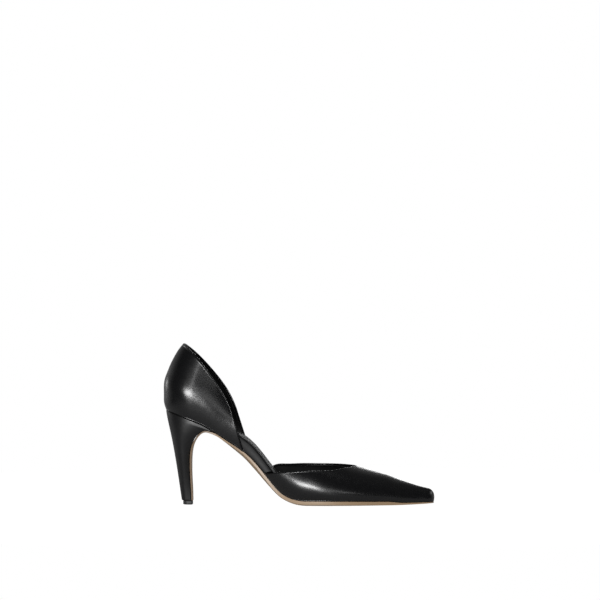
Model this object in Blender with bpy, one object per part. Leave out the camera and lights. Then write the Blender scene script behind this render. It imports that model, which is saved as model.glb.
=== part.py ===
# A right foot's court shoe with open sides: vamp, quarter, wrapped shank, insole, outsole, heel and top piece.
# Metres. +X runs to the toe, +Y to the big toe's side, +Z up, with the floor at 0.

from collections import namedtuple

import bmesh
import bpy
import numpy as np

# Last
SHOE_LENGTH = 0.2364  # level, from the back of the quarter to the toe
BALL_WIDTH = 0.0775  # last bottom at the ball
HEEL_HEIGHT = 0.0822  # floor to the back of the seat
THROAT_DEPTH = 0.0308  # last bottom to the vamp's throat
QUARTER_HEIGHT = 0.0587  # seat to the quarter's peak
CROWN = 0.0021  # rise of the last bottom's edge over its middle, at the ball
TOE_SPRING = 0.0014
TOE_OVERHANG = 0.0010  # the toe's nose in front of its own bottom edge
TOE_ROUND = 0.0090
NOSE_ROUND = 0.0055  # the last stretch, over which the toe's top comes down
SEAT_ROUND = 0.0260
SEAT_INSET = 0.0022  # the seat's back edge behind the quarter's widest point

# Upper
VAMP_WALL = 0.0019
QUARTER_WALL = 0.0022

# Bottom
SOLE_THICKNESS = 0.0030
BREAST_THICKNESS = 0.0015  # the outsole where it runs down the heel
FLAP_TAPER = 0.012  # the stretch over which it thins to that
FLAP_CENTRING = 0.030  # the stretch over which it swings to the heel's middle
SHANK_DEPTH = 0.0066  # by the vamp
SHANK_EXTRA = 0.0021  # added by the quarter
SHANK_TAPER = (0.27, 0.375)  # places along the shoe between which that fades
SOCK_THICKNESS = 0.0010
INSOLE_THICKNESS = 0.0030
GAP = 0.0003  # between pieces that touch

# Heel
HEEL_RIM = 0.0008  # straight edge under the seat
HEEL_TIP_BACK = 0.0156  # from the back of the quarter
TOP_PIECE_HEIGHT = 0.0034
TOP_PIECE_LENGTH = 0.0085
TOP_PIECE_WIDTH = 0.0116
TOP_PIECE_BACK = 0.0168

# Places along the shoe, as shares of its length
SEAT_END = 0.105
TREAD_END = 0.82
THROAT = 0.708
QUARTER_FRONT = {-1: 0.295, 1: 0.318}  # outer side, inner side
VAMP_BACK = 0.376
SOLE_TURN = 0.205  # where the outsole leaves the last bottom for the heel
WEDGE_TIP = 0.174  # the heel's thin front end, along the outsole
NOSE = 0.955  # where the vamp's stations close up towards the toe
SEAT_SLOPE = -1.08  # rise per share of length
FLAT_TREAD = 0.35  # share of the sole's half width that lies on the floor

# Middle line of the last bottom: height as a share of the heel's, above the tread.
ArchRow = namedtuple("ArchRow", "along rise")
ARCH = [
    ArchRow(0.105, 0.900),
    ArchRow(0.15, 0.843),
    ArchRow(0.20, 0.750),
    ArchRow(0.25, 0.650),
    ArchRow(0.30, 0.545),
    ArchRow(0.35, 0.391),
    ArchRow(0.39, 0.239),
    ArchRow(0.43, 0.102),
    ArchRow(0.47, 0.031),
    ArchRow(0.51, 0.003),
    ArchRow(0.54, 0.000),
]

# Last bottom seen from above: shares of the ball width, before the heel and toe are rounded.
PlanRow = namedtuple("PlanRow", "along centre half crown")
PLAN = [
    PlanRow(0.000, 0.000, 0.316, 0.00),
    PlanRow(0.115, 0.000, 0.316, 0.00),
    PlanRow(0.200, -0.008, 0.292, 0.02),
    PlanRow(0.280, -0.015, 0.262, 0.12),
    PlanRow(0.360, -0.032, 0.265, 0.22),
    PlanRow(0.440, -0.043, 0.339, 0.58),
    PlanRow(0.510, -0.035, 0.423, 0.94),
    PlanRow(0.580, -0.021, 0.475, 1.00),
    PlanRow(0.635, -0.006, 0.485, 0.96),
    PlanRow(0.706, 0.010, 0.450, 0.80),
    PlanRow(0.800, 0.026, 0.348, 0.50),
    PlanRow(0.897, 0.033, 0.222, 0.24),
    PlanRow(0.965, 0.033, 0.134, 0.10),
    PlanRow(1.000, 0.033, 0.108, 0.06),
]

# The last over the foot: height as a share of the throat's depth, ridge as a share of the
# ball width, flare and shoulder as shares of the half width.
InstepRow = namedtuple("InstepRow", "along height ridge flare shoulder")
INSTEP = [
    InstepRow(0.360, 1.46, 0.000, 0.50, 0.80),
    InstepRow(0.440, 1.62, 0.010, 0.48, 0.80),
    InstepRow(0.530, 1.54, 0.030, 0.36, 0.76),
    InstepRow(0.610, 1.31, 0.048, 0.24, 0.70),
    InstepRow(0.708, 1.00, 0.055, 0.24, 0.66),
    InstepRow(0.800, 0.786, 0.050, 0.28, 0.62),
    InstepRow(0.900, 0.552, 0.040, 0.34, 0.60),
    InstepRow(0.965, 0.395, 0.034, 0.34, 0.62),
    InstepRow(1.000, 0.330, 0.033, 0.34, 0.64),
]

# The vamp's top edge behind the throat: height above the floor as a share of the throat's.
RimRow = namedtuple("RimRow", "along lateral medial")
RIM = [
    RimRow(0.375, 0.818, 0.840),
    RimRow(0.390, 0.843, 0.920),
    RimRow(0.407, 0.868, 0.982),
    RimRow(0.447, 0.895, 1.003),
    RimRow(0.490, 0.924, 1.010),
    RimRow(0.560, 0.935, 1.013),
    RimRow(0.600, 0.938, 1.014),
    RimRow(0.635, 0.954, 1.015),
    RimRow(0.665, 0.982, 1.013),
    RimRow(0.690, 0.997, 1.006),
    RimRow(0.708, 1.000, 1.000),
]

# The quarter by height: back line and girth.
BackRow = namedtuple("BackRow", "up back girth")
BACK = [
    BackRow(0.00, 0.0375, 1.00),
    BackRow(0.10, 0.0050, 1.06),
    BackRow(0.22, 0.0000, 1.11),
    BackRow(0.36, 0.0000, 1.13),
    BackRow(0.46, 0.0136, 1.11),
    BackRow(0.56, 0.0500, 1.06),
    BackRow(0.68, 0.0990, 0.98),
    BackRow(0.80, 0.1600, 0.90),
    BackRow(0.90, 0.2215, 0.84),
    BackRow(1.00, 0.3030, 0.80),
]
QUARTER_LEAN = -0.29  # backward lean of the quarter's front edges

# The quarter's top edge: height above the seat's back as a share of the quarter's.
EdgeRow = namedtuple("EdgeRow", "up lateral medial")
QUARTER_EDGE = [
    EdgeRow(-0.40, 0.2795, 0.2988),
    EdgeRow(-0.30, 0.2747, 0.2922),
    EdgeRow(-0.15, 0.2638, 0.2818),
    EdgeRow(0.00, 0.2524, 0.2700),
    EdgeRow(0.15, 0.2374, 0.2549),
    EdgeRow(0.30, 0.2171, 0.2347),
    EdgeRow(0.45, 0.1920, 0.2081),
    EdgeRow(0.60, 0.1656, 0.1770),
    EdgeRow(0.75, 0.1380, 0.1425),
    EdgeRow(0.90, 0.1027, 0.1040),
    EdgeRow(1.00, 0.0753, 0.0753),
]

# Outsole: thickness at the middle and the edge as shares of the sole's, width of the last's.
SoleRow = namedtuple("SoleRow", "along middle edge width")
SOLE = [
    SoleRow(0.20, 0.66, 0.50, 0.97),
    SoleRow(0.24, 0.98, 0.56, 0.95),
    SoleRow(0.29, 1.42, 0.66, 0.94),
    SoleRow(0.34, 1.52, 0.70, 0.94),
    SoleRow(0.38, 1.32, 0.76, 0.95),
    SoleRow(0.42, 0.98, 0.86, 0.97),
    SoleRow(0.46, 0.93, 0.93, 0.99),
    SoleRow(0.50, 1.00, 1.00, 1.00),
    SoleRow(0.82, 1.00, 1.00, 1.00),
    SoleRow(0.88, 0.62, 0.62, 1.00),
    SoleRow(0.94, 0.50, 0.46, 1.00),
    SoleRow(1.00, 0.40, 0.34, 0.99),
]

# Front of the heel, from the arch down: outer face of the outsole.
BreastRow = namedtuple("BreastRow", "up along half")
BREAST = [
    BreastRow(0.768, 0.1690, 0.275),
    BreastRow(0.776, 0.1550, 0.266),
    BreastRow(0.755, 0.1390, 0.252),
    BreastRow(0.705, 0.1245, 0.232),
    BreastRow(0.640, 0.1125, 0.210),
    BreastRow(0.555, 0.1055, 0.184),
    BreastRow(0.430, 0.1035, 0.150),
    BreastRow(0.300, 0.1045, 0.122),
    BreastRow(0.170, 0.1070, 0.098),
    BreastRow(0.045, 0.1083, 0.081),
]

# The heel from its tip to the seat: widest half width, and where it is between back and front.
HeelRow = namedtuple("HeelRow", "up half widest bow")
HEEL = [
    HeelRow(0.00, 0.083, 0.52, 0.000),
    HeelRow(0.15, 0.108, 0.53, 0.004),
    HeelRow(0.35, 0.158, 0.55, 0.009),
    HeelRow(0.55, 0.212, 0.57, 0.011),
    HeelRow(0.75, 0.262, 0.58, 0.008),
    HeelRow(0.90, 0.296, 0.585, 0.003),
    HeelRow(1.00, 0.316, 0.585, 0.000),
]


def column(rows, name):
    return np.array([getattr(row, name) for row in rows], float)


def fair_curve(x, y, start_slope=None, end_slope=None):
    # A cubic spline with no step in its curvature, held level past its ends.
    step = np.diff(x)
    slope = np.diff(y) / step
    count = len(x)
    system = np.zeros((count, count))
    load = np.zeros(count)
    for i in range(1, count - 1):
        system[i, i - 1 : i + 2] = step[i - 1], 2 * (step[i - 1] + step[i]), step[i]
        load[i] = 6 * (slope[i] - slope[i - 1])
    system[0, 0] = system[-1, -1] = 1
    if start_slope is not None:
        system[0, :2] = 2 * step[0], step[0]
        load[0] = 6 * (slope[0] - start_slope)
    if end_slope is not None:
        system[-1, -2:] = step[-1], 2 * step[-1]
        load[-1] = 6 * (end_slope - slope[-1])
    bend = np.linalg.solve(system, load)

    def at(value):
        value = np.clip(value, x[0], x[-1])
        i = np.clip(np.searchsorted(x, value) - 1, 0, count - 2)
        left, right, span = value - x[i], x[i + 1] - value, step[i]
        cubes = (bend[i] * right**3 + bend[i + 1] * left**3) / (6 * span)
        from_left = (y[i] / span - bend[i] * span / 6) * right
        from_right = (y[i + 1] / span - bend[i + 1] * span / 6) * left
        return cubes + from_left + from_right

    return at


def level_curve(x, y):
    # A cubic curve that never overshoots its rows, and is level between two equal ones.
    step = np.diff(x)
    rise = np.diff(y) / step
    slope = np.zeros(len(x))
    for i in range(1, len(x) - 1):
        if rise[i - 1] * rise[i] > 0:
            slope[i] = 2 * rise[i - 1] * rise[i] / (rise[i - 1] + rise[i])

    def at(value):
        value = np.clip(value, x[0], x[-1])
        i = np.clip(np.searchsorted(x, value) - 1, 0, len(x) - 2)
        t = (value - x[i]) / step[i]
        ends = y[i] * (1 + 2 * t) * (1 - t) ** 2 + y[i + 1] * t * t * (3 - 2 * t)
        pulls = slope[i] * t * (1 - t) ** 2 - slope[i + 1] * t * t * (1 - t)
        return ends + pulls * step[i]

    return at


arch_rise = fair_curve(column(ARCH, "along"), column(ARCH, "rise"), SEAT_SLOPE, 0)
plan_centre = fair_curve(column(PLAN, "along"), column(PLAN, "centre"))
plan_half = fair_curve(column(PLAN, "along"), column(PLAN, "half"))
plan_crown = level_curve(column(PLAN, "along"), column(PLAN, "crown"))
sole_middle = level_curve(column(SOLE, "along"), column(SOLE, "middle"))
sole_edge = level_curve(column(SOLE, "along"), column(SOLE, "edge"))
sole_width = level_curve(column(SOLE, "along"), column(SOLE, "width"))
instep = {
    name: fair_curve(column(INSTEP, "along"), column(INSTEP, name))
    for name in ("height", "ridge", "flare", "shoulder")
}
rim_share = {
    side: fair_curve(column(RIM, "along"), column(RIM, name))
    for side, name in ((-1, "lateral"), (1, "medial"))
}
back_line = fair_curve(column(BACK, "up"), column(BACK, "back"))
back_girth = fair_curve(column(BACK, "up"), column(BACK, "girth"))
quarter_edge = {
    side: fair_curve(column(QUARTER_EDGE, "up"), column(QUARTER_EDGE, name))
    for side, name in ((-1, "lateral"), (1, "medial"))
}

TREAD_TOP = SOLE_THICKNESS + GAP


def last_height(along):
    # Height of the last bottom's middle line over the floor.
    along = np.asarray(along, float)
    seat = arch_rise(along) + SEAT_SLOPE * np.minimum(along - SEAT_END, 0)
    height = TREAD_TOP + (HEEL_HEIGHT - TREAD_TOP) * seat
    past = np.maximum(along - TREAD_END, 0) / (1 - TREAD_END)
    thinner = np.where(past > 0, sole_middle(along) - 1, 0)
    return height + SOLE_THICKNESS * thinner + TOE_SPRING * past**2


def last_bottom(along, lift=0.0):
    # Point (x, z) of the middle line, moved out along its normal.
    tiny = 1e-4
    run = 2 * tiny * SHOE_LENGTH
    rise = last_height(along + tiny) - last_height(along - tiny)
    size = np.hypot(run, rise)
    x = along * SHOE_LENGTH - lift * rise / size
    z = last_height(along) + lift * run / size
    return x, z


def end_round(along, inset=0.0):
    # 1 along the shoe, falling to 0 round the seat's back and the toe.
    x = along * SHOE_LENGTH
    back = (x - SEAT_INSET - inset) / (SEAT_ROUND - inset)
    toe = (SHOE_LENGTH - TOE_OVERHANG - inset - x) / (TOE_ROUND - inset)
    seat_part = np.sqrt(1 - (1 - np.clip(back, 0, 1)) ** 2)
    square = 2.3
    toe_part = (1 - (1 - np.clip(toe, 0, 1)) ** square) ** (1 / square)
    return seat_part * toe_part


def plan_y(along, across, inset=0.0, width=1.0):
    # across runs from -1 at the outer edge to 1 at the inner edge.
    half = (plan_half(along) * BALL_WIDTH * width - inset) * end_round(along, inset)
    return plan_centre(along) * BALL_WIDTH + half * across


def bezier(start, pull_start, pull_end, end, t):
    rest = 1 - t
    return (
        start * rest**3
        + 3 * pull_start * rest**2 * t
        + 3 * pull_end * rest * t**2
        + end * t**3
    )


def vamp_section(along, side, t):
    # Half of the last's section: t runs from its bottom edge to its ridge.
    edge_y = plan_y(along, side)
    ridge_y = instep["ridge"](along) * BALL_WIDTH
    nose = np.clip((SHOE_LENGTH - TOE_OVERHANG - along * SHOE_LENGTH) / NOSE_ROUND, 0, 1)
    square = 2.5
    nose_part = (1 - (1 - nose) ** square) ** (1 / square)
    bottom = float(last_height(along)) + CROWN * float(plan_crown(along))
    top = float(last_height(along)) + THROAT_DEPTH * float(instep["height"](along))
    top = bottom + (top - bottom) * nose_part
    middle = plan_centre(along) * BALL_WIDTH
    ridge_y = middle + (ridge_y - middle) * end_round(along)
    reach = edge_y - ridge_y
    flare = edge_y + reach * instep["flare"](along)
    shoulder = ridge_y + reach * instep["shoulder"](along)
    y = bezier(edge_y, flare, shoulder, ridge_y, t)
    z = bezier(bottom, bottom + 0.36 * (top - bottom), top, top, t)
    share = np.clip((z - bottom) / (THROAT_DEPTH * instep["height"](1.0)), 0, 1)
    forward = TOE_OVERHANG * np.clip((along - 0.93) / 0.07, 0, 1) ** 2
    x = along * SHOE_LENGTH + forward * np.sin(np.pi * np.minimum(share, 0.75) / 1.5)
    return x, y, z


def rim_t(along, side):
    # Where the vamp's top edge crosses a section; 1 is the ridge.
    if along >= THROAT:
        return 1.0
    throat_height = float(last_height(THROAT)) + THROAT_DEPTH
    wanted = throat_height * float(rim_share[side](along))
    low, high = 0.0, 1.0
    for _ in range(40):
        middle = (low + high) / 2
        if vamp_section(along, side, middle)[2] < wanted:
            low = middle
        else:
            high = middle
    return low


def quarter_line(x_seat, side, height):
    # A rising line of the quarter, from the seat's edge at x_seat. The first follows the back
    # line, the last is the straight front edge.
    along = x_seat / SHOE_LENGTH
    up = height / QUARTER_HEIGHT
    front = (x_seat - SEAT_INSET) / (QUARTER_FRONT[side] * SHOE_LENGTH - SEAT_INSET)
    x = x_seat + (back_line(up) - back_line(0.0)) * QUARTER_HEIGHT * (1 - front**2)
    x = x + QUARTER_LEAN * front**2 * height
    centre = plan_centre(along) * BALL_WIDTH
    y = centre + (plan_y(along, side) - centre) * back_girth(up)
    z = last_height(along) + CROWN * plan_crown(along) + height
    return x, y, z


def quarter_top(x_seat, side):
    # Height at which a rising line meets the quarter's top edge.
    low, high = 0.0, 1.2 * QUARTER_HEIGHT
    for _ in range(40):
        middle = (low + high) / 2
        x, _, z = quarter_line(x_seat, side, middle)
        edge = quarter_edge[side]((z - HEEL_HEIGHT) / QUARTER_HEIGHT) * SHOE_LENGTH
        if x < edge and z < HEEL_HEIGHT + QUARTER_HEIGHT:
            low = middle
        else:
            high = middle
    return low


def material(name, colour, roughness):
    made = bpy.data.materials.new(name)
    made.use_nodes = True
    shader = made.node_tree.nodes["Principled BSDF"]
    shader.inputs["Base Color"].default_value = (*colour, 1)
    shader.inputs["Roughness"].default_value = roughness
    shader.inputs["Metallic"].default_value = 0.0
    return made


def add_piece(name, points, faces, finish):
    mesh = bpy.data.meshes.new(name)
    mesh.from_pydata([tuple(map(float, p)) for p in points], [], faces)
    mesh.shade_smooth()
    mesh.set_sharp_from_angle(angle=np.radians(40))
    mesh.materials.append(finish)
    piece = bpy.data.objects.new(name, mesh)
    bpy.context.scene.collection.objects.link(piece)
    return piece


def quads(grid, flip=False):
    # Faces over rows of vertex numbers; a repeated number makes a triangle.
    faces = []
    for row, following in zip(grid, grid[1:]):
        for i in range(len(row) - 1):
            corners = [row[i], following[i], following[i + 1], row[i + 1]]
            corners = list(dict.fromkeys(corners))
            if len(corners) > 2:
                faces.append(corners[::-1] if flip else corners)
    return faces


def loft(name, rings, finish):
    # Closed rings joined in order; each end is laddered from point i to its opposite.
    count = len(rings[0])
    points = [p for ring in rings for p in ring]
    numbers = [[k * count + i for i in range(count)] for k in range(len(rings))]
    faces = quads([row + row[:1] for row in numbers])
    half = count // 2
    for ring, flip in ((numbers[0], True), (numbers[-1], False)):
        faces += quads([ring[:half], ring[: half - 1 : -1]], flip)
    piece = add_piece(name, points, faces, finish)
    face_out(piece.data)
    return piece


def face_out(mesh):
    # Rings that run the other way round give a body turned inside out.
    work = bmesh.new()
    work.from_mesh(mesh)
    if work.calc_volume(signed=True) < 0:
        bmesh.ops.reverse_faces(work, faces=work.faces)
    work.to_mesh(mesh)
    work.free()


def shell(name, points, faces, wall, finish):
    # A sheet facing out, thickened inwards to a wall.
    piece = add_piece(name, points, faces, finish)
    solidify = piece.modifiers.new("Wall", "SOLIDIFY")
    solidify.thickness = wall
    solidify.offset = -1
    solidify.use_rim = True
    return piece


def make_vamp(finish):
    rise_rows = 8
    wing = [THROAT - (THROAT - VAMP_BACK) * s**1.7 for s in np.linspace(1, 0, 15)]
    front = list(np.linspace(THROAT, NOSE, 11)[1:])
    tip = 1 - TOE_OVERHANG / SHOE_LENGTH
    nose = [tip - (tip - NOSE) * (1 - np.sin(a)) for a in np.radians([18, 36, 52, 66, 77, 85])]
    stations = wing + front + nose
    points = []
    grids = {}
    for side in (-1, 1):
        grid = []
        for along in stations:
            limit = rim_t(along, side)
            row = []
            for j in range(rise_rows + 1):
                shared = side == 1 and j == rise_rows and along >= THROAT
                if shared:
                    row.append(grids[-1][len(grid)][rise_rows])
                    continue
                row.append(len(points))
                points.append(vamp_section(along, side, limit * j / rise_rows))
            grid.append(row)
        grids[side] = grid
    pole = len(points)
    points.append((tip * SHOE_LENGTH, plan_y(tip, 0.0), last_height(tip) + CROWN * plan_crown(tip)))
    faces = []
    for side, grid in grids.items():
        grid.append([pole] * (rise_rows + 1))
        faces += quads(grid, side > 0)
    return shell("vamp", points, faces, VAMP_WALL, finish)


def make_quarter(finish):
    rise_rows = 9
    round_x = SEAT_INSET + SEAT_ROUND
    back = [SEAT_INSET + SEAT_ROUND * (1 - np.cos(a)) for a in np.radians(np.linspace(90, 0, 9))]
    lines = []
    for side in (-1, 1):
        front_x = QUARTER_FRONT[side] * SHOE_LENGTH
        half = [(x, side) for x in list(np.linspace(front_x, round_x, 8)[:-1]) + back]
        lines += half if side < 0 else half[-2::-1]
    points = []
    grid = []
    for x_seat, side in lines:
        top = quarter_top(x_seat, side)
        grid.append(list(range(len(points), len(points) + rise_rows + 1)))
        points += [quarter_line(x_seat, side, top * j / rise_rows) for j in range(rise_rows + 1)]
    return shell("quarter", points, quads(grid, True), QUARTER_WALL, finish)


ACROSS = np.array([-1, -0.88, -0.64, -FLAT_TREAD, 0, FLAT_TREAD, 0.64, 0.88, 1])


def sole_ring(along):
    # The outsole's section under the last bottom: top row, then bottom row back.
    centre = plan_centre(along) * BALL_WIDTH
    width = float(sole_width(along))
    crown = CROWN * plan_crown(along)
    edge = SOLE_THICKNESS * sole_edge(along)
    swell = SOLE_THICKNESS * (sole_middle(along) - sole_edge(along))
    past_flat = np.maximum(np.abs(ACROSS) - FLAT_TREAD, 0) / (1 - FLAT_TREAD)
    depth = edge + swell * (1 - np.abs(ACROSS) ** 2.2)
    y = centre + (plan_y(along, ACROSS) - centre) * width
    top = last_bottom(along, -GAP + crown * ACROSS**2)
    bottom = last_bottom(along, -GAP - depth + crown * past_flat**2)
    upper = [(top[0][i], y[i], top[1][i]) for i in range(len(y))]
    lower = [(bottom[0][i], y[i], bottom[1][i]) for i in range(len(y))]
    return upper + lower[::-1]


def breast_path():
    # Outer face of the outsole from the arch to the heel's tip: (x, z, half width) by length.
    rows = []
    for along in (0.26, 0.23, SOLE_TURN):
        x, z = last_bottom(along, -GAP - SOLE_THICKNESS * sole_middle(along))
        half = plan_half(along) * sole_width(along)
        rows.append((x, z, half * BALL_WIDTH))
    for row in BREAST:
        rows.append((row.along * SHOE_LENGTH, row.up * HEEL_HEIGHT, row.half * BALL_WIDTH))
    rows[-1] = (rows[-1][0], TOP_PIECE_HEIGHT + GAP, rows[-1][2])
    rows = np.array(rows, float)
    run = np.concatenate([[0], np.cumsum(np.hypot(*np.diff(rows[:, :2], axis=0).T))])
    curves = [fair_curve(run, rows[:, i]) for i in range(3)]
    return curves, run[2], run[-1]


def breast_point(curves, run, lift):
    # A point of that face moved into the heel by lift, with the half width there.
    tiny = 1e-5
    dx = curves[0](run + tiny) - curves[0](run - tiny)
    dz = curves[1](run + tiny) - curves[1](run - tiny)
    size = np.hypot(dx, dz)
    x = curves[0](run) + lift * dz / size
    z = curves[1](run) - lift * dx / size
    return x, z, curves[2](run)


def flap_thickness(run, start):
    # The outsole thins over the first stretch after it leaves the last bottom.
    first = SOLE_THICKNESS * float(sole_middle(SOLE_TURN))
    share = np.clip((run - start) / FLAP_TAPER, 0, 1)
    return first + (BREAST_THICKNESS - first) * share * share * (3 - 2 * share)


def make_outsole(finish):
    tip = 1 - (TOE_OVERHANG + 0.0002) / SHOE_LENGTH
    toe = [tip - back / SHOE_LENGTH for back in (0.0, 0.0007, 0.002, 0.004, 0.0068, 0.0105)]
    tread = list(np.linspace(0.93, 0.56, 12))
    arch = list(np.linspace(0.535, SOLE_TURN, 18))
    rings = [sole_ring(along) for along in toe + tread + arch]
    curves, start, end = breast_path()
    swell = SOLE_THICKNESS * (sole_middle(SOLE_TURN) - sole_edge(SOLE_TURN))
    for run in np.linspace(start, end, 22)[1:]:
        fade = np.clip(1 - (run - start) / FLAP_TAPER, 0, 1)
        thinner = swell * fade * np.abs(ACROSS) ** 2.2
        inner = breast_point(curves, run, flap_thickness(run, start))
        outer = breast_point(curves, run, thinner)
        level = outer[1][0] if run == end else inner[1]
        centring = np.clip(1 - (run - start) / FLAP_CENTRING, 0, 1)
        y = plan_centre(SOLE_TURN) * BALL_WIDTH * centring + ACROSS * outer[2]
        upper = [(inner[0], v, level) for v in y]
        lower = list(zip(outer[0], y, outer[1]))
        rings.append(upper + lower[::-1])
    return loft("outsole", rings, finish)


def heel_ring(back, front, row_half, widest, breast_half, seat_share):
    # A D-shaped section between a back point and a front point, flat in front.
    fore_part = 1 - np.linspace(0, 1, 7) * (1 - widest)
    hind_part = widest * (1 - np.sin(np.radians(np.linspace(12, 86, 8))))
    share = np.concatenate([fore_part, hind_part])
    x = back[0] + (front[0] - back[0]) * share
    z = back[1] + (front[1] - back[1]) * share
    behind = np.clip(share / widest, 0, 1)
    ahead = np.clip((share - widest) / (1 - widest), 0, 1)
    half = row_half * np.sqrt(1 - (1 - behind) ** 2) + (breast_half - row_half) * ahead**2
    along = np.clip(x / SHOE_LENGTH, SEAT_INSET / SHOE_LENGTH, 1)
    ring = {}
    for side in (-1, 1):
        y = half * side * (1 - seat_share) + plan_y(along, side) * seat_share
        ring[side] = [(x[i], y[i], z[i]) for i in range(len(x))]
    return ring[-1] + ring[1][::-1]


def under_last(x, drop):
    # Height at x of a face that lies below the last bottom's middle line by drop.
    along = x / SHOE_LENGTH
    tiny = 1e-4
    rise = last_height(along + tiny) - last_height(along - tiny)
    return last_height(along) - drop * np.hypot(1, rise / (2 * tiny * SHOE_LENGTH))


def make_heel(finish):
    curves, start, end = breast_path()
    wedge_run = start + (SOLE_TURN - WEDGE_TIP) * SHOE_LENGTH
    heel_half = fair_curve(column(HEEL, "up"), column(HEEL, "half"))
    heel_widest = fair_curve(column(HEEL, "up"), column(HEEL, "widest"))
    heel_bow = fair_curve(column(HEEL, "up"), column(HEEL, "bow"))
    bottom = np.array([HEEL_TIP_BACK, TOP_PIECE_HEIGHT + GAP])
    seat_back = np.array(last_bottom(SEAT_INSET / SHOE_LENGTH, -GAP), float)
    rim = np.array([0, -HEEL_RIM])
    rings = []
    for up in np.concatenate([np.linspace(0, 0.6, 8), np.linspace(0.66, 1, 8)]):
        run = end + (wedge_run - end) * up
        lift = flap_thickness(run, start) + GAP
        x, z, breast_half = breast_point(curves, run, lift)
        if up == 0:
            z = bottom[1]
        back = bottom + (seat_back + rim - bottom) * up
        back[0] += heel_bow(up) * HEEL_HEIGHT
        seat_share = np.clip((up - 0.6) / 0.4, 0, 1) ** 2
        half = heel_half(up) * BALL_WIDTH
        rings.append(heel_ring(back, (x, z), half, heel_widest(up), breast_half, seat_share))
    # The top is hollowed to the last bottom.
    seat = heel_ring(seat_back, (x, z), half, heel_widest(1), breast_half, 1.0)
    rings.append([(px, py, under_last(px, GAP)) for px, py, _ in seat])
    return loft("heel", rings, finish)


def make_top_piece(finish):
    rings = []
    for z, grow in ((0.0, -0.0003), (0.0004, 0.0), (TOP_PIECE_HEIGHT, 0.0)):
        back = np.array([TOP_PIECE_BACK - grow, z])
        front = np.array([TOP_PIECE_BACK + TOP_PIECE_LENGTH + grow, z])
        half = TOP_PIECE_WIDTH / 2 + grow
        rings.append(heel_ring(back, front, half, 0.5, half * 0.96, 0.0))
    return loft("top_piece", rings, finish)


def slab_ring(bottom_along, top_along, bottom_lift, top_lift, inset, profile):
    # A section between two lifts off the last bottom. The profile lists, from the outer side
    # to the inner one, across, the top row's height and the bottom row's, as shares.
    rows = []
    for top in (True, False):
        row = []
        for across, high, low in profile:
            share = high if top else low
            along = bottom_along + (top_along - bottom_along) * share
            crown = CROWN * plan_crown(along) * min(abs(across), 1) ** 2
            lift = bottom_lift + (top_lift - bottom_lift) * share + crown
            x, z = last_bottom(along, lift)
            row.append((x, plan_y(along, across, inset), z))
        rows.append(row)
    return rows[0] + rows[1][::-1]


SHANK_PROFILE = [
    (-1.045, 0.62, 0.30),
    (-1.035, 0.88, 0.08),
    (-0.985, 1.00, 0.00),
    (-0.5, 1.00, 0.00),
    (0.0, 1.00, 0.00),
    (0.5, 1.00, 0.00),
    (0.985, 1.00, 0.00),
    (1.035, 0.88, 0.08),
    (1.045, 0.62, 0.30),
]


def shank_depth(along):
    full, slim = SHANK_TAPER
    rear = np.clip((slim - along) / (slim - full), 0, 1)
    return SHANK_DEPTH + SHANK_EXTRA * rear**2 * (3 - 2 * rear)


def crossing(low, high, height, is_past):
    # Place where the strip, at that share of its depth, meets a seam.
    for _ in range(40):
        middle = (low + high) / 2
        x, z = last_bottom(middle, shank_depth(middle) * height)
        if is_past(x, z):
            high = middle
        else:
            low = middle
    return middle


def quarter_seam(side, height):
    # Just in front of the quarter's front edge.
    foot = QUARTER_FRONT[side] * SHOE_LENGTH
    level = last_height(foot / SHOE_LENGTH)

    def is_past(x, z):
        return x > foot + QUARTER_LEAN * (z - level) + 2 * GAP

    return crossing(0.2, 0.36, height, is_past)


def vamp_seam(side, height):
    # Just behind and above the end of the vamp's wing.
    throat_height = last_height(THROAT) + THROAT_DEPTH

    def is_past(x, z):
        along = max(x + 2 * GAP, VAMP_BACK * SHOE_LENGTH) / SHOE_LENGTH
        behind = x < VAMP_BACK * SHOE_LENGTH - 4 * GAP
        return not behind and z < throat_height * rim_share[side](along) + 3 * GAP

    return crossing(0.3, 0.46, height, is_past)


def make_shank_cover(finish):
    rings = []
    ends = {}
    for side in (-1, 1):
        for height in {level for row in SHANK_PROFILE for level in row[1:]}:
            ends[side, height] = quarter_seam(side, height), vamp_seam(side, height)
    for share in np.linspace(0, 1, 13):
        ring = []
        for top in (True, False):
            row = []
            for across, high, low in SHANK_PROFILE:
                height = high if top else low
                place = 0.0
                for side, weight in ((-1, (1 - across) / 2), (1, (1 + across) / 2)):
                    start, end = ends[side, height]
                    place += weight * (start + (end - start) * share)
                crown = CROWN * plan_crown(place) * min(abs(across), 1) ** 2
                x, z = last_bottom(place, shank_depth(place) * height + crown)
                row.append((x, plan_y(place, across), z))
            ring += row if top else row[::-1]
        rings.append(ring)
    return loft("shank_cover", rings, finish)


InsoleRow = namedtuple("InsoleRow", "along over_shank")
INSOLE = [
    InsoleRow(0.00, 0.0),
    InsoleRow(0.115, 0.0),
    InsoleRow(0.252, 1.0),
    InsoleRow(0.415, 1.0),
    InsoleRow(0.530, 0.0),
    InsoleRow(1.00, 0.0),
]

INSOLE_PROFILE = [
    (-1.0, 0.85, 0.0),
    (-0.94, 1.00, 0.0),
    (-0.6, 1.00, 0.0),
    (-0.2, 1.00, 0.0),
    (0.2, 1.00, 0.0),
    (0.6, 1.00, 0.0),
    (0.94, 1.00, 0.0),
    (1.0, 0.85, 0.0),
]


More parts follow.
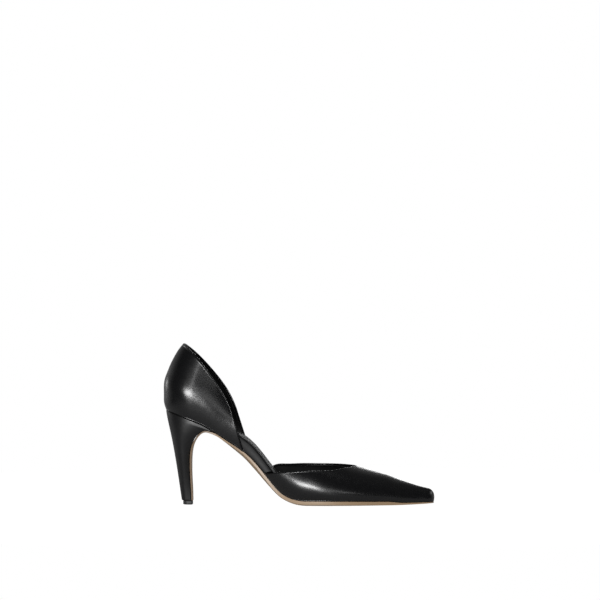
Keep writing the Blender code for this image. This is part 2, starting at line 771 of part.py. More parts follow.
def make_insole(finish):
    # The insole lies on the outsole and the heel's seat, and thins to a sock over the shank.
    inset = max(VAMP_WALL, QUARTER_WALL) + 2 * GAP
    over_shank = level_curve(column(INSOLE, "along"), column(INSOLE, "over_shank"))
    back = (SEAT_INSET + inset) / SHOE_LENGTH
    tip = 1 - (TOE_OVERHANG + inset) / SHOE_LENGTH
    seat = [back + d / SHOE_LENGTH for d in (0.0003, 0.0012, 0.003, 0.006, 0.010, 0.015, 0.021)]
    middle = list(np.linspace(0.125, 0.48, 26)) + list(np.linspace(0.505, 0.93, 13))
    toe = [tip - d / SHOE_LENGTH for d in (0.0105, 0.0065, 0.0038, 0.0018, 0.0006, 0.0002)]
    rings = []
    for along in seat + middle + toe:
        share = float(over_shank(along))
        bottom_lift = (shank_depth(along) + GAP) * share
        thickness = INSOLE_THICKNESS + (SOCK_THICKNESS - INSOLE_THICKNESS) * share
        rings.append(slab_ring(along, along, bottom_lift, bottom_lift + thickness, inset, INSOLE_PROFILE))
    return loft("insole", rings, finish)


def stand_on_origin(pieces):
    # The origin is on the floor under the middle of the shoe.
    bpy.context.view_layer.update()
    corners = np.array([v.co for piece in pieces for v in piece.data.vertices])
    middle = (corners.min(0) + corners.max(0)) / 2
    for piece in pieces:
        piece.location = (-middle[0], -middle[1], 0)


def main():
    for old in list(bpy.data.objects):
        bpy.data.objects.remove(old)
    leather = material("black_leather", (0.012, 0.012, 0.013), 0.32)
    tan = material("tan_sole_leather", (0.42, 0.29, 0.19), 0.5)
    lining = material("black_lining", (0.02, 0.02, 0.021), 0.5)
    rubber = material("black_rubber", (0.015, 0.015, 0.015), 0.45)
    pieces = [
        make_outsole(tan),
        make_heel(leather),
        make_top_piece(rubber),
        make_shank_cover(leather),
        make_insole(lining),
        make_vamp(leather),
        make_quarter(leather),
    ]
    stand_on_origin(pieces)


main()
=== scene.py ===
# A black court shoe with open sides, dressed over its CAD frame.
# Metres. X runs to the toe, Y to the big toe's side, Z up, the floor is at 0.

import math

import bmesh
import bpy
import numpy as np
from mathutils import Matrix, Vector


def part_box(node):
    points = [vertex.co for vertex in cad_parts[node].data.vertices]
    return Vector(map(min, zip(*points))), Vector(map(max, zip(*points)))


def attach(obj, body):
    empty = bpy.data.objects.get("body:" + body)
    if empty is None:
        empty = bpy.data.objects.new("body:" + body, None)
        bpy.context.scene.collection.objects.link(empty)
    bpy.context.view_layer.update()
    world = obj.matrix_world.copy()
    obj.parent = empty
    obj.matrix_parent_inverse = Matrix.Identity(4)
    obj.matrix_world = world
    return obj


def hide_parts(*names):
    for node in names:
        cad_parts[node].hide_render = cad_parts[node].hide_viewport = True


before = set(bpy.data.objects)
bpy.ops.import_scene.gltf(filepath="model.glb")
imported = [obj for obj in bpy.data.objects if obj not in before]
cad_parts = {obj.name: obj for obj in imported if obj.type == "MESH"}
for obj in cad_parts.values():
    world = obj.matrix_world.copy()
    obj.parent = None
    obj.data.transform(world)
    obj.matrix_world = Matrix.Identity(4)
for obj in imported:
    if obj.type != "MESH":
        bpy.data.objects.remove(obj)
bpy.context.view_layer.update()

# The last and the bottom, as in the CAD. Shares of the length are counted from the back.
last = {
    "length": 0.2364,
    "ballWidth": 0.0775,
    "heelHeight": 0.0822,
    "throatDepth": 0.0308,
    "quarterHeight": 0.0587,
    "crown": 0.0021,
    "toeSpring": 0.0014,
    "toeOverhang": 0.0010,
    "toeRound": 0.0090,
    "noseRound": 0.0055,
    "seatRound": 0.0260,
    "seatInset": 0.0022,
    "toePower": 2.3,
    "nosePower": 2.5,
    "sideRise": 0.36,
    "toeLeanStart": 0.93,
    "toeLeanPeak": 0.75,
    "sole": 0.0030,
    "gap": 0.0003,
    "seatEnd": 0.105,
    "seatSlope": -1.08,
    "treadEnd": 0.82,
    "throat": 0.708,
    # along, rise
    "arch": [
        (0.105, 0.900),
        (0.15, 0.843),
        (0.20, 0.750),
        (0.25, 0.650),
        (0.30, 0.545),
        (0.35, 0.391),
        (0.39, 0.239),
        (0.43, 0.102),
        (0.47, 0.031),
        (0.51, 0.003),
        (0.54, 0.000),
    ],
    # along, centre, half width, crown
    "plan": [
        (0.000, 0.000, 0.316, 0.00),
        (0.115, 0.000, 0.316, 0.00),
        (0.200, -0.008, 0.292, 0.02),
        (0.280, -0.015, 0.262, 0.12),
        (0.360, -0.032, 0.265, 0.22),
        (0.440, -0.043, 0.339, 0.58),
        (0.510, -0.035, 0.423, 0.94),
        (0.580, -0.021, 0.475, 1.00),
        (0.635, -0.006, 0.485, 0.96),
        (0.706, 0.010, 0.450, 0.80),
        (0.800, 0.026, 0.348, 0.50),
        (0.897, 0.033, 0.222, 0.24),
        (0.965, 0.033, 0.134, 0.10),
        (1.000, 0.033, 0.108, 0.06),
    ],
    # along, height, ridge, flare, shoulder
    "instep": [
        (0.360, 1.46, 0.000, 0.50, 0.80),
        (0.440, 1.62, 0.010, 0.48, 0.80),
        (0.530, 1.54, 0.030, 0.36, 0.76),
        (0.610, 1.31, 0.048, 0.24, 0.70),
        (0.708, 1.00, 0.055, 0.24, 0.66),
        (0.800, 0.786, 0.050, 0.28, 0.62),
        (0.900, 0.552, 0.040, 0.34, 0.60),
        (0.965, 0.395, 0.034, 0.34, 0.62),
        (1.000, 0.330, 0.033, 0.34, 0.64),
    ],
}


def fairCurve(rows, column, startSlope=None, endSlope=None):
    # cubic spline with no step in its curvature, held level past its ends
    x = np.array([row[0] for row in rows], float)
    y = np.array([row[column] for row in rows], float)
    step = np.diff(x)
    slope = np.diff(y) / step
    count = len(x)
    system = np.zeros((count, count))
    load = np.zeros(count)
    for i in range(1, count - 1):
        system[i, i - 1 : i + 2] = step[i - 1], 2 * (step[i - 1] + step[i]), step[i]
        load[i] = 6 * (slope[i] - slope[i - 1])
    system[0, 0] = system[-1, -1] = 1
    if startSlope is not None:
        system[0, :2] = 2 * step[0], step[0]
        load[0] = 6 * (slope[0] - startSlope)
    if endSlope is not None:
        system[-1, -2:] = step[-1], 2 * step[-1]
        load[-1] = 6 * (endSlope - slope[-1])
    bend = np.linalg.solve(system, load)

    def at(value):
        value = np.clip(value, x[0], x[-1])
        i = np.clip(np.searchsorted(x, value) - 1, 0, count - 2)
        left, right, span = value - x[i], x[i + 1] - value, step[i]
        cubes = (bend[i] * right**3 + bend[i + 1] * left**3) / (6 * span)
        first = y[i] / span - bend[i] * span / 6
        final = y[i + 1] / span - bend[i + 1] * span / 6
        return cubes + first * right + final * left

    return at


def levelCurve(rows, column):
    # cubic that never overshoots its rows
    x = np.array([row[0] for row in rows], float)
    y = np.array([row[column] for row in rows], float)
    step = np.diff(x)
    rise = np.diff(y) / step
    slope = np.zeros(len(x))
    for i in range(1, len(x) - 1):
        if rise[i - 1] * rise[i] > 0:
            slope[i] = 2 * rise[i - 1] * rise[i] / (rise[i - 1] + rise[i])

    def at(value):
        value = np.clip(value, x[0], x[-1])
        i = np.clip(np.searchsorted(x, value) - 1, 0, len(x) - 2)
        t = (value - x[i]) / step[i]
        ends = y[i] * (1 + 2 * t) * (1 - t) ** 2 + y[i + 1] * t * t * (3 - 2 * t)
        return ends + (slope[i] * t * (1 - t) ** 2 - slope[i + 1] * t * t * (1 - t)) * step[i]

    return at


length = last["length"]
ball = last["ballWidth"]
gap = last["gap"]
tiny = 1e-4
halvings = 36
treadTop = last["sole"] + gap
archRise = fairCurve(last["arch"], 1, last["seatSlope"], 0)
planCentre = fairCurve(last["plan"], 1)
planHalf = fairCurve(last["plan"], 2)
planCrown = levelCurve(last["plan"], 3)
instepHeight = fairCurve(last["instep"], 1)
instepRidge = fairCurve(last["instep"], 2)
instepFlare = fairCurve(last["instep"], 3)
instepShoulder = fairCurve(last["instep"], 4)

outsoleLook = {
    "breastThickness": 0.0015,
    "flatTread": 0.35,
    "swellPower": 2.2,
    "turn": 0.205,
    "lead": (0.26, 0.23),
    "wedgeTip": 0.178,
    "edgeRound": 0.00045,
    "thinRun": 0.012,
    "centreRun": 0.03,
    "toeStart": 0.93,
    "toeGap": 0.0002,
    "points": 41,
    "toeRings": 26,
    "soleRings": 150,
    "flapRings": 110,
    # where the painted shade on the flap's side ends, and how far it fades
    "flapShadeFront": 0.045,
    "flapShadeFade": 0.008,
    # along, middle, edge, width
    "rows": [
        (0.20, 0.66, 0.50, 0.97),
        (0.24, 0.98, 0.56, 0.95),
        (0.29, 1.42, 0.66, 0.94),
        (0.34, 1.52, 0.70, 0.94),
        (0.38, 1.32, 0.76, 0.95),
        (0.42, 0.98, 0.86, 0.97),
        (0.46, 0.93, 0.93, 0.99),
        (0.50, 1.00, 1.00, 1.00),
        (0.82, 1.00, 1.00, 1.00),
        (0.88, 0.62, 0.62, 1.00),
        (0.94, 0.50, 0.46, 1.00),
        (1.00, 0.40, 0.34, 0.99),
    ],
    # up, along, half width
    "breast": [
        (0.768, 0.1690, 0.275),
        (0.776, 0.1550, 0.266),
        (0.755, 0.1390, 0.252),
        (0.705, 0.1245, 0.232),
        (0.640, 0.1125, 0.210),
        (0.555, 0.1055, 0.184),
        (0.430, 0.1035, 0.150),
        (0.300, 0.1045, 0.122),
        (0.170, 0.1070, 0.098),
        (0.045, 0.1083, 0.081),
    ],
}
soleMiddle = levelCurve(outsoleLook["rows"], 1)
soleEdge = levelCurve(outsoleLook["rows"], 2)
soleWidth = levelCurve(outsoleLook["rows"], 3)


def lastHeight(along):
    # the last bottom's middle line over the floor
    along = np.asarray(along, float)
    seat = archRise(along) + last["seatSlope"] * np.minimum(along - last["seatEnd"], 0)
    height = treadTop + (last["heelHeight"] - treadTop) * seat
    past = np.maximum(along - last["treadEnd"], 0) / (1 - last["treadEnd"])
    thinner = np.where(past > 0, soleMiddle(along) - 1, 0)
    return height + last["sole"] * thinner + last["toeSpring"] * past**2


def lastBottom(along, lift):
    # the middle line moved up along its normal
    run = 2 * tiny * length
    rise = lastHeight(along + tiny) - lastHeight(along - tiny)
    size = np.hypot(run, rise)
    return along * length - lift * rise / size, lastHeight(along) + lift * run / size


def endRound(along, inset=0.0):
    x = along * length
    back = (x - last["seatInset"] - inset) / (last["seatRound"] - inset)
    toe = (length - last["toeOverhang"] - inset - x) / (last["toeRound"] - inset)
    seatPart = np.sqrt(1 - (1 - np.clip(back, 0, 1)) ** 2)
    power = last["toePower"]
    toePart = (1 - (1 - np.clip(toe, 0, 1)) ** power) ** (1 / power)
    return seatPart * toePart


def planY(along, across, inset=0.0):
    half = (planHalf(along) * ball - inset) * endRound(along, inset)
    return planCentre(along) * ball + half * across


# Mesh helpers. The points above count from the last's back end; the shift puts them in the frame.

topPieceLook = {
    "back": 0.0168,
    "length": 0.0085,
    "width": 0.0116,
    "height": 0.0034,
    "widest": 0.5,
    "frontShare": 0.96,
    "cornerRound": 0.0012,
    "topRound": 0.0002,
    # height, how far the section is drawn in
    "foot": [(0, 0.0005), (0.00015, 0.0002), (0.0005, 0)],
}
low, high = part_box("top_piece")
cadShift = Vector((low[0] - topPieceLook["back"], (low[1] + high[1]) / 2, 0))


def addMesh(name, points, faces, slot, *nodes):
    mesh = bpy.data.meshes.new(name)
    mesh.from_pydata([tuple(map(float, p)) for p in points], [], faces)
    mesh.shade_smooth()
    piece = bpy.data.objects.new(name, mesh)
    bpy.context.scene.collection.objects.link(piece)
    piece.location = cadShift
    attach(piece, "root")
    if nodes:
        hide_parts(*nodes)
    return piece


def gridFaces(numbers, flip=False):
    faces = []
    for row, following in zip(numbers, numbers[1:]):
        for i in range(len(row) - 1):
            corners = list(dict.fromkeys([row[i], following[i], following[i + 1], row[i + 1]]))
            if len(corners) > 2:
                faces.append(corners[::-1] if flip else corners)
    return faces


def loftFaces(ringCount, pointCount):
    # closed rings, the ends laddered from each point to its opposite
    numbers = [[k * pointCount + i for i in range(pointCount)] for k in range(ringCount)]
    faces = gridFaces([row + row[:1] for row in numbers])
    half = pointCount // 2
    for ring, flip in ((numbers[0], True), (numbers[-1], False)):
        faces += gridFaces([ring[:half], ring[: half - 1 : -1]], flip)
    return faces


def faceOut(mesh):
    work = bmesh.new()
    work.from_mesh(mesh)
    if work.calc_volume(signed=True) < 0:
        bmesh.ops.reverse_faces(work, faces=work.faces)
    work.to_mesh(mesh)
    work.free()


def addLoft(name, rings, slot, *nodes):
    points = [p for ring in rings for p in ring]
    piece = addMesh(name, points, loftFaces(len(rings), len(rings[0])), slot, *nodes)
    faceOut(piece.data)
    return piece


def sheetNormals(points, faces):
    points = np.array(points, float)
    normals = np.zeros_like(points)
    for face in faces:
        a, b, c = points[face[0]], points[face[1]], points[face[-1]]
        d = points[face[2]]
        normals[face] += np.cross(d - a, c - b) if len(face) == 4 else np.cross(b - a, c - a)
    size = np.linalg.norm(normals, axis=1, keepdims=True)
    return normals / np.maximum(size, 1e-15)


def edgeWays(points, faces, normals):
    # the border's edges in face order, and at each of its points the way out of the sheet
    used = {}
    for face in faces:
        for a, b in zip(face, face[1:] + face[:1]):
            used[a, b] = True
    border = [(a, b) for a, b in used if (b, a) not in used]
    ways = {}
    for a, b in border:
        way = np.cross(points[b] - points[a], normals[a] + normals[b])
        size = np.linalg.norm(way)
        for i in (a, b):
            ways[i] = ways.get(i, 0) + (way / size if size > 1e-12 else 0)
    return border, {i: way / max(np.linalg.norm(way), 1e-12) for i, way in ways.items()}


def sheetBody(points, faces, wall, depth=0.0, steps=6):
    # a sheet moved in by depth and thickened by wall, with half round edges
    points = np.array(points, float)
    normals = sheetNormals(points, faces)
    outer = points - normals * depth
    inner = outer - normals * wall
    border, ways = edgeWays(outer, faces, normals)
    body = [tuple(p) for p in outer] + [tuple(p) for p in inner]
    count = len(outer)
    bodyFaces = [list(f) for f in faces] + [[i + count for i in f][::-1] for f in faces]
    rolls = {}
    for i, way in ways.items():
        middle = (outer[i] + inner[i]) / 2
        rolls[i] = [i]
        for angle in np.linspace(0, math.pi, steps + 1)[1:-1]:
            rolls[i].append(len(body))
            turned = normals[i] * math.cos(angle) + way * math.sin(angle)
            body.append(tuple(middle + turned * wall / 2))
        rolls[i].append(i + count)
    for a, b in border:
        bodyFaces += gridFaces([rolls[b], rolls[a]], True)
    return body, bodyFaces


# Vamp

vampLook = {
    "back": 0.376,
    "leather": 0.0011,
    "lining": 0.00065,
    "liningDrop": 0.0011,
    "liningInset": 0.001,
    "liningGap": 0.00008,
    "frontEnd": 0.955,
    "wingCrowd": 1.7,
    "noseBends": (8, 88),
    "rows": 26,
    "wingStations": 80,
    "frontStations": 56,
    "noseStations": 16,
    # along, lateral, medial: the top edge's height as a share of the throat's
    "rim": [
        (0.375, 0.818, 0.840),
        (0.390, 0.843, 0.920),
        (0.407, 0.868, 0.982),
        (0.447, 0.895, 1.003),
        (0.490, 0.924, 1.010),
        (0.560, 0.935, 1.013),
        (0.600, 0.938, 1.014),
        (0.635, 0.954, 1.015),
        (0.665, 0.982, 1.013),
        (0.690, 0.997, 1.006),
        (0.708, 1.000, 1.000),
    ],
}
rimShare = {-1: fairCurve(vampLook["rim"], 1), 1: fairCurve(vampLook["rim"], 2)}


def bezier(start, pullStart, pullEnd, end, t):
    rest = 1 - t
    return start * rest**3 + 3 * pullStart * rest**2 * t + 3 * pullEnd * rest * t**2 + end * t**3


def vampSection(along, side, t):
    # half of the last's section, from its bottom edge to its ridge
    nose = np.clip((length - last["toeOverhang"] - along * length) / last["noseRound"], 0, 1)
    power = last["nosePower"]
    nosePart = (1 - (1 - nose) ** power) ** (1 / power)
    middle = planCentre(along) * ball
    edgeY = planY(along, side)
    ridgeY = middle + (instepRidge(along) * ball - middle) * endRound(along)
    bottom = float(lastHeight(along)) + last["crown"] * float(planCrown(along))
    top = float(lastHeight(along)) + last["throatDepth"] * float(instepHeight(along))
    top = bottom + (top - bottom) * nosePart
    reach = edgeY - ridgeY
    flare, shoulder = reach * instepFlare(along), reach * instepShoulder(along)
    y = bezier(edgeY, edgeY + flare, ridgeY + shoulder, ridgeY, t)
    z = bezier(bottom, bottom + last["sideRise"] * (top - bottom), top, top, t)
    share = np.clip((z - bottom) / (last["throatDepth"] * instepHeight(1.0)), 0, 1)
    start, peak = last["toeLeanStart"], last["toeLeanPeak"]
    forward = last["toeOverhang"] * np.clip((along - start) / (1 - start), 0, 1) ** 2
    x = along * length + forward * np.sin(np.pi * np.minimum(share, peak) / (2 * peak))
    return x, y, z


def rimT(along, side, drop):
    # where the top edge, lowered by drop, crosses a section
    if along >= last["throat"] + drop / length:
        return 1.0
    throatHeight = float(lastHeight(last["throat"])) + last["throatDepth"]
    wanted = throatHeight * float(rimShare[side](along - drop / length)) - drop
    low, high = 0.0, 1.0
    for _ in range(halvings):
        middle = (low + high) / 2
        if vampSection(along, side, middle)[2] < wanted:
            low = middle
        else:
            high = middle
    return low


def vampSheet(drop, rearInset=0.0):
    rows = vampLook["rows"]
    throat = last["throat"] + drop / length
    rear = vampLook["back"] + rearInset / length
    shares = np.linspace(1, 0, vampLook["wingStations"]) ** vampLook["wingCrowd"]
    wing = [throat - (throat - rear) * share for share in shares]
    frontEnd = vampLook["frontEnd"]
    front = list(np.linspace(throat, frontEnd, vampLook["frontStations"])[1:])
    tip = 1 - last["toeOverhang"] / length
    bends = np.radians(np.linspace(*vampLook["noseBends"], vampLook["noseStations"]))
    stations = wing + front + [tip - (tip - frontEnd) * (1 - math.sin(a)) for a in bends]
    points = []
    grids = {-1: [], 1: []}
    for side in (-1, 1):
        for k, along in enumerate(stations):
            limit = rimT(along, side, drop)
            x, y, z = vampSection(along, side, limit * np.arange(rows + 1) / rows)
            shared = side == 1 and along >= throat - 1e-9
            row = list(range(len(points), len(points) + rows + (0 if shared else 1)))
            points += [(x[j], y[j], z[j]) for j in range(len(row))]
            grids[side].append(row + [grids[-1][k][rows]] if shared else row)
    pole = len(points)
    points.append((tip * length, planY(tip, 0.0), lastHeight(tip) + last["crown"] * planCrown(tip)))
    faces = []
    for side, grid in grids.items():
        grid.append([pole] * (rows + 1))
        faces += gridFaces(grid, side > 0)
    return points, faces


# Quarter

quarterLook = {
    "front": {-1: 0.295, 1: 0.318},
    "lean": -0.29,
    "leather": 0.0012,
    "lining": 0.0008,
    "liningDrop": 0.0011,
    "leatherInset": 0.0006,
    "liningInset": 0.0015,
    "liningGap": 0.00008,
    "insetPower": 8,
    "dropWay": (0.8, 0.6),
    "backDrop": 0.4,
    "searchTop": 1.2,
    "rows": 34,
    "sideStations": 44,
    "backStations": 30,
    # up, back, girth
    "back": [
        (0.00, 0.0375, 1.00),
        (0.10, 0.0050, 1.06),
        (0.22, 0.0000, 1.11),
        (0.36, 0.0000, 1.13),
        (0.46, 0.0136, 1.11),
        (0.56, 0.0500, 1.06),
        (0.68, 0.0990, 0.98),
        (0.80, 0.1600, 0.90),
        (0.90, 0.2215, 0.84),
        (1.00, 0.3030, 0.80),
    ],
    # up, lateral, medial
    "edge": [
        (-0.40, 0.2795, 0.2988),
        (-0.30, 0.2747, 0.2922),
        (-0.15, 0.2638, 0.2818),
        (0.00, 0.2524, 0.2700),
        (0.15, 0.2374, 0.2549),
        (0.30, 0.2171, 0.2347),
        (0.45, 0.1920, 0.2081),
        (0.60, 0.1656, 0.1770),
        (0.75, 0.1380, 0.1425),
        (0.90, 0.1027, 0.1040),
        (1.00, 0.0753, 0.0753),
    ],
}
backLine = fairCurve(quarterLook["back"], 1)
backGirth = fairCurve(quarterLook["back"], 2)
quarterEdge = {-1: fairCurve(quarterLook["edge"], 1), 1: fairCurve(quarterLook["edge"], 2)}


def quarterLine(xSeat, side, height, frontInset=0.0):
    along = xSeat / length
    up = height / last["quarterHeight"]
    frontX = quarterLook["front"][side] * length
    front = (xSeat - last["seatInset"]) / (frontX - last["seatInset"])
    x = xSeat + (backLine(up) - backLine(0.0)) * last["quarterHeight"] * (1 - front**2)
    x = x + quarterLook["lean"] * front**2 * height
    x = x - frontInset * front ** quarterLook["insetPower"]
    centre = planCentre(along) * ball
    y = centre + (planY(along, side) - centre) * backGirth(up)
    z = lastHeight(along) + last["crown"] * planCrown(along) + height
    return x, y, z


def quarterTop(xSeat, side, drop, frontInset):
    # how far up a line meets the top edge, lowered by drop
    back, down = quarterLook["dropWay"]
    limit = 1 - quarterLook["backDrop"] * drop / last["quarterHeight"]
    low, high = 0.0, quarterLook["searchTop"] * last["quarterHeight"]
    for _ in range(halvings):
        middle = (low + high) / 2
        x, _, z = quarterLine(xSeat, side, middle, frontInset)
        up = (z + down * drop - last["heelHeight"]) / last["quarterHeight"]
        edge = quarterEdge[side](up) * length - back * drop
        if x < edge and up < limit:
            low = middle
        else:
            high = middle
    return low


def quarterSheet(drop, frontInset=0.0):
    rows = quarterLook["rows"]
    roundX = last["seatInset"] + last["seatRound"]
    bends = np.radians(np.linspace(90, 0, quarterLook["backStations"]))
    back = [last["seatInset"] + last["seatRound"] * (1 - math.cos(a)) for a in bends]
    lines = []
    for side in (-1, 1):
        frontX = quarterLook["front"][side] * length
        straight = list(np.linspace(frontX, roundX, quarterLook["sideStations"])[:-1])
        half = [(x, side) for x in straight + back]
        lines += half if side < 0 else half[-2::-1]
    points = []
    grid = []
    for xSeat, side in lines:
        top = quarterTop(xSeat, side, drop, frontInset)
        grid.append(list(range(len(points), len(points) + rows + 1)))
        for j in range(rows + 1):
            points.append(tuple(map(float, quarterLine(xSeat, side, top * j / rows, frontInset))))
    return points, gridFaces(grid, True)


# Materials

class Wire:
    # a socket that takes part in sums written in Python
    def __init__(self, graph, socket):
        self.graph = graph
        self.socket = socket

    def maths(self, operation, first, second):
        return self.graph.node("ShaderNodeMath", {"operation": operation}, {0: first, 1: second})

    def __add__(self, other):
        return self.maths("ADD", self, other)

    def __radd__(self, other):
        return self.maths("ADD", other, self)

    def __sub__(self, other):
        return self.maths("SUBTRACT", self, other)

    def __rsub__(self, other):
        return self.maths("SUBTRACT", other, self)

    def __mul__(self, other):
        return self.maths("MULTIPLY", self, other)

    def __rmul__(self, other):
        return self.maths("MULTIPLY", other, self)


class Graph:
    # a node tree with one way to add nodes
    def __init__(self, tree):
        self.tree = tree

    def node(self, kind, settings, sockets, output=0):
        made = self.tree.nodes.new(kind)
        for key, value in settings.items():
            setattr(made, key, value)
        for key, value in sockets.items():
            self.connect(made.inputs[key], value)
        return Wire(self, made.outputs[output])

    def connect(self, socket, value):
        if isinstance(value, Wire):
            self.tree.links.new(value.socket, socket)
        else:
            socket.default_value = value

    def spread(self, value, low, high, first=0.0, final=1.0):
        # maps low..high to first..final with soft ends
        sockets = {"Value": value, 1: low, 2: high, 3: first, 4: final}
        return self.node("ShaderNodeMapRange", {"interpolation_type": "SMOOTHSTEP"}, sockets)

    def blend(self, mask, first, second):
        first = (*first, 1) if isinstance(first, tuple) else first
        second = (*second, 1) if isinstance(second, tuple) else second
        return self.node("ShaderNodeMix", {"data_type": "RGBA"}, {0: mask, 6: first, 7: second}, 2)


class Finish(Graph):
    # a material with a Principled shader
    def __init__(self, name):
        self.material = bpy.data.materials.new(name)
        self.material.use_nodes = True
        super().__init__(self.material.node_tree)
        self.shader = self.tree.nodes["Principled BSDF"]
        self.place = self.node("ShaderNodeTexCoord", {}, {}, "Object")

    def feed(self, sockets):
        for key, value in sockets.items():
            self.connect(self.shader.inputs[key], value)

    def noise(self, scale, detail, roughness, place=None):
        sockets = {"Vector": place or self.place, "Scale": scale}
        sockets.update({"Detail": detail, "Roughness": roughness})
        return self.node("ShaderNodeTexNoise", {}, sockets)

    def cells(self, scale):
        sockets = {"Vector": self.place, "Scale": scale}
        return self.node("ShaderNodeTexVoronoi", {}, sockets, "Distance")

    def attribute(self, name):
        return self.node("ShaderNodeAttribute", {"attribute_name": name}, {}, "Fac")

    def bump(self, height, strength, distance, normal=None):
        sockets = {"Height": height, "Strength": strength, "Distance": distance}
        if normal is not None:
            sockets["Normal"] = normal
        return self.node("ShaderNodeBump", {}, sockets)


calfLook = {
    "colour": (0.0030, 0.0030, 0.0034),
    "worn": (0.0052, 0.0052, 0.0057),
    "roughness": 0.27,
    "roughnessSpread": 0.08,
    "cloudScale": 330,
    "pebbleScale": 760,
    "pebbleDepth": 0.00008,
    "grainScale": 2300,
    "grainShare": 0.7,
    "poreScale": 5200,
    "poreShare": 0.5,
    "grainDepth": 0.00003,
    "waveScale": 55,
    "waveDepth": 0.0005,
    "waveStrength": 0.5,
    "grainStrength": 0.45,
    "specular": 0.5,
    "coat": 0.25,
    "coatRoughness": 0.22,
}


def makeCalf(name, look):
    finish = Finish(name)
    grain = finish.cells(look["grainScale"])
    pores = finish.noise(look["poreScale"], 2.0, 0.6)
    patches = finish.noise(look["waveScale"], 2.0, 0.45)
    cloud = finish.noise(look["cloudScale"], 3.0, 0.55)
    skin = grain * look["grainShare"] + pores * look["poreShare"]
    pebble = finish.noise(look["pebbleScale"], 2.0, 0.55)
    wave = finish.bump(patches, look["waveStrength"], look["waveDepth"])
    wave = finish.bump(pebble, look["waveStrength"], look["pebbleDepth"], wave)
    close = finish.bump(skin, look["grainStrength"], look["grainDepth"], wave)
    spread = look["roughnessSpread"]
    rough = look["roughness"] - spread / 2 + cloud * spread
    finish.feed({
        "Base Color": finish.blend(cloud, look["colour"], look["worn"]),
        "Roughness": rough,
        "Normal": close,
        "Specular IOR Level": look["specular"],
        "Coat Weight": look["coat"],
        "Coat Roughness": look["coatRoughness"],
    })
    return finish.material


liningLook = dict(
    calfLook,
    colour=(0.0028, 0.0028, 0.0030),
    worn=(0.0048, 0.0048, 0.0050),
    roughness=0.56,
    roughnessSpread=0.1,
    cloudScale=270,
    pebbleScale=1100,
    pebbleDepth=0.00002,
    grainScale=3400,
    poreScale=6500,
    grainDepth=0.000015,
    waveScale=45,
    waveDepth=0.0003,
    specular=0.25,
    coat=0.0,
    coatRoughness=0.3,
)
# painted sheen: the sock is black leather, but its colour is set several times lighter than the
# lining's to stand in for the light its top catches at a grazing view
sockPaintedSheenLook = dict(
    liningLook,
    colour=(0.018, 0.018, 0.019),
    worn=(0.027, 0.027, 0.028),
    roughness=0.6,
    pebbleDepth=0.000002,
    grainDepth=0.000002,
    waveDepth=0.00002,
)
heelCoverLook = dict(calfLook, roughness=0.42, coat=0.06)
wrapLook = dict(
    calfLook,
    roughness=0.55,
    pebbleDepth=0.00003,
    grainDepth=0.00001,
    specular=0.3,
    coat=0.0,
)

tanLook = {
    "colour": (0.36, 0.247, 0.146),
    "fibre": (0.29, 0.194, 0.112),
    "edge": (0.255, 0.173, 0.102),
    # painted shade: a dark colour laid along the sole's top edge where it meets the upper
    "top": (0.05, 0.03, 0.018),
    # painted shade on the flap's side, by the heel's breast
    "flapShade": (0.10, 0.066, 0.040),
    "flapShadeShare": 0.7,
    "cloudScale": 160,
    "cloudShare": 0.6,
    "poreScale": 2600,
    "poreShare": 0.6,
    "fibreScale": 1500,
    "fibreShare": 0.5,
    "fibreMask": (0.35, 0.7),
    "streakScale": 700,
    "streakStretch": (0.35, 1.6, 1.6),
    "streakShare": 0.4,
    "streakDepthShare": 0.5,
    "grainStrength": 0.35,
    "grainDepth": 0.00005,
    "roughness": 0.46,
    "roughnessSpread": 0.12,
    "coat": 0.12,
    "coatRoughness": 0.25,
}


def makeTan(name, look):
    finish = Finish(name)
    cloud = finish.noise(look["cloudScale"], 4.0, 0.6)
    pores = finish.noise(look["poreScale"], 2.0, 0.6)
    fibre = finish.cells(look["fibreScale"])
    mapping = {"Vector": finish.place, "Scale": look["streakStretch"]}
    stretched = finish.node("ShaderNodeMapping", {}, mapping)
    streaks = finish.noise(look["streakScale"], 3.0, 0.6, stretched)
    tone = cloud * look["cloudShare"] + streaks * look["streakShare"]
    mask = finish.spread(tone, *look["fibreMask"])
    base = finish.blend(mask, look["colour"], look["fibre"])
    base = finish.blend(finish.attribute("edge"), base, look["edge"])
    # painted shade on the flap's side, by the heel's breast
    base = finish.blend(finish.attribute("paintedBreastShade") * look["flapShadeShare"], base, look["flapShade"])
    # painted shade along the sole's top edge, where it meets the upper
    base = finish.blend(finish.attribute("paintedSeamShade"), base, look["top"])
    relief = fibre * look["fibreShare"] + pores * look["poreShare"]
    relief = relief + streaks * look["streakDepthShare"]
    spread = look["roughnessSpread"]
    finish.feed({
        "Base Color": base,
        "Roughness": look["roughness"] - spread / 2 + cloud * spread,
        "Normal": finish.bump(relief, look["grainStrength"], look["grainDepth"]),
        "Coat Weight": look["coat"],
        "Coat Roughness": look["coatRoughness"],
    })
    return finish.material


rubberLook = {
    "colour": (0.012, 0.012, 0.012),
    "speck": (0.022, 0.022, 0.022),
    "speckScale": 1800,
    "speckStrength": 0.4,
    "speckDepth": 0.00006,
    "roughness": 0.5,
    "roughnessSpread": 0.12,
}


def makeRubber(name, look):
    finish = Finish(name)
    speck = finish.noise(look["speckScale"], 3.0, 0.6)
    finish.feed({
        "Base Color": finish.blend(speck, look["colour"], look["speck"]),
        "Roughness": look["roughness"] + speck * look["roughnessSpread"],
        "Normal": finish.bump(speck, look["speckStrength"], look["speckDepth"]),
    })
    return finish.material


calf = makeCalf("blackCalf", calfLook)
liningLeather = makeCalf("blackLining", liningLook)
sockLeather = makeCalf("blackSock", sockPaintedSheenLook)
wrapLeather = makeCalf("blackWrap", wrapLook)
heelLeather = makeCalf("blackHeelCover", heelCoverLook)
tanLeather = makeTan("tanSoleLeather", tanLook)
rubber = makeRubber("blackRubber", rubberLook)
print("materials ready")


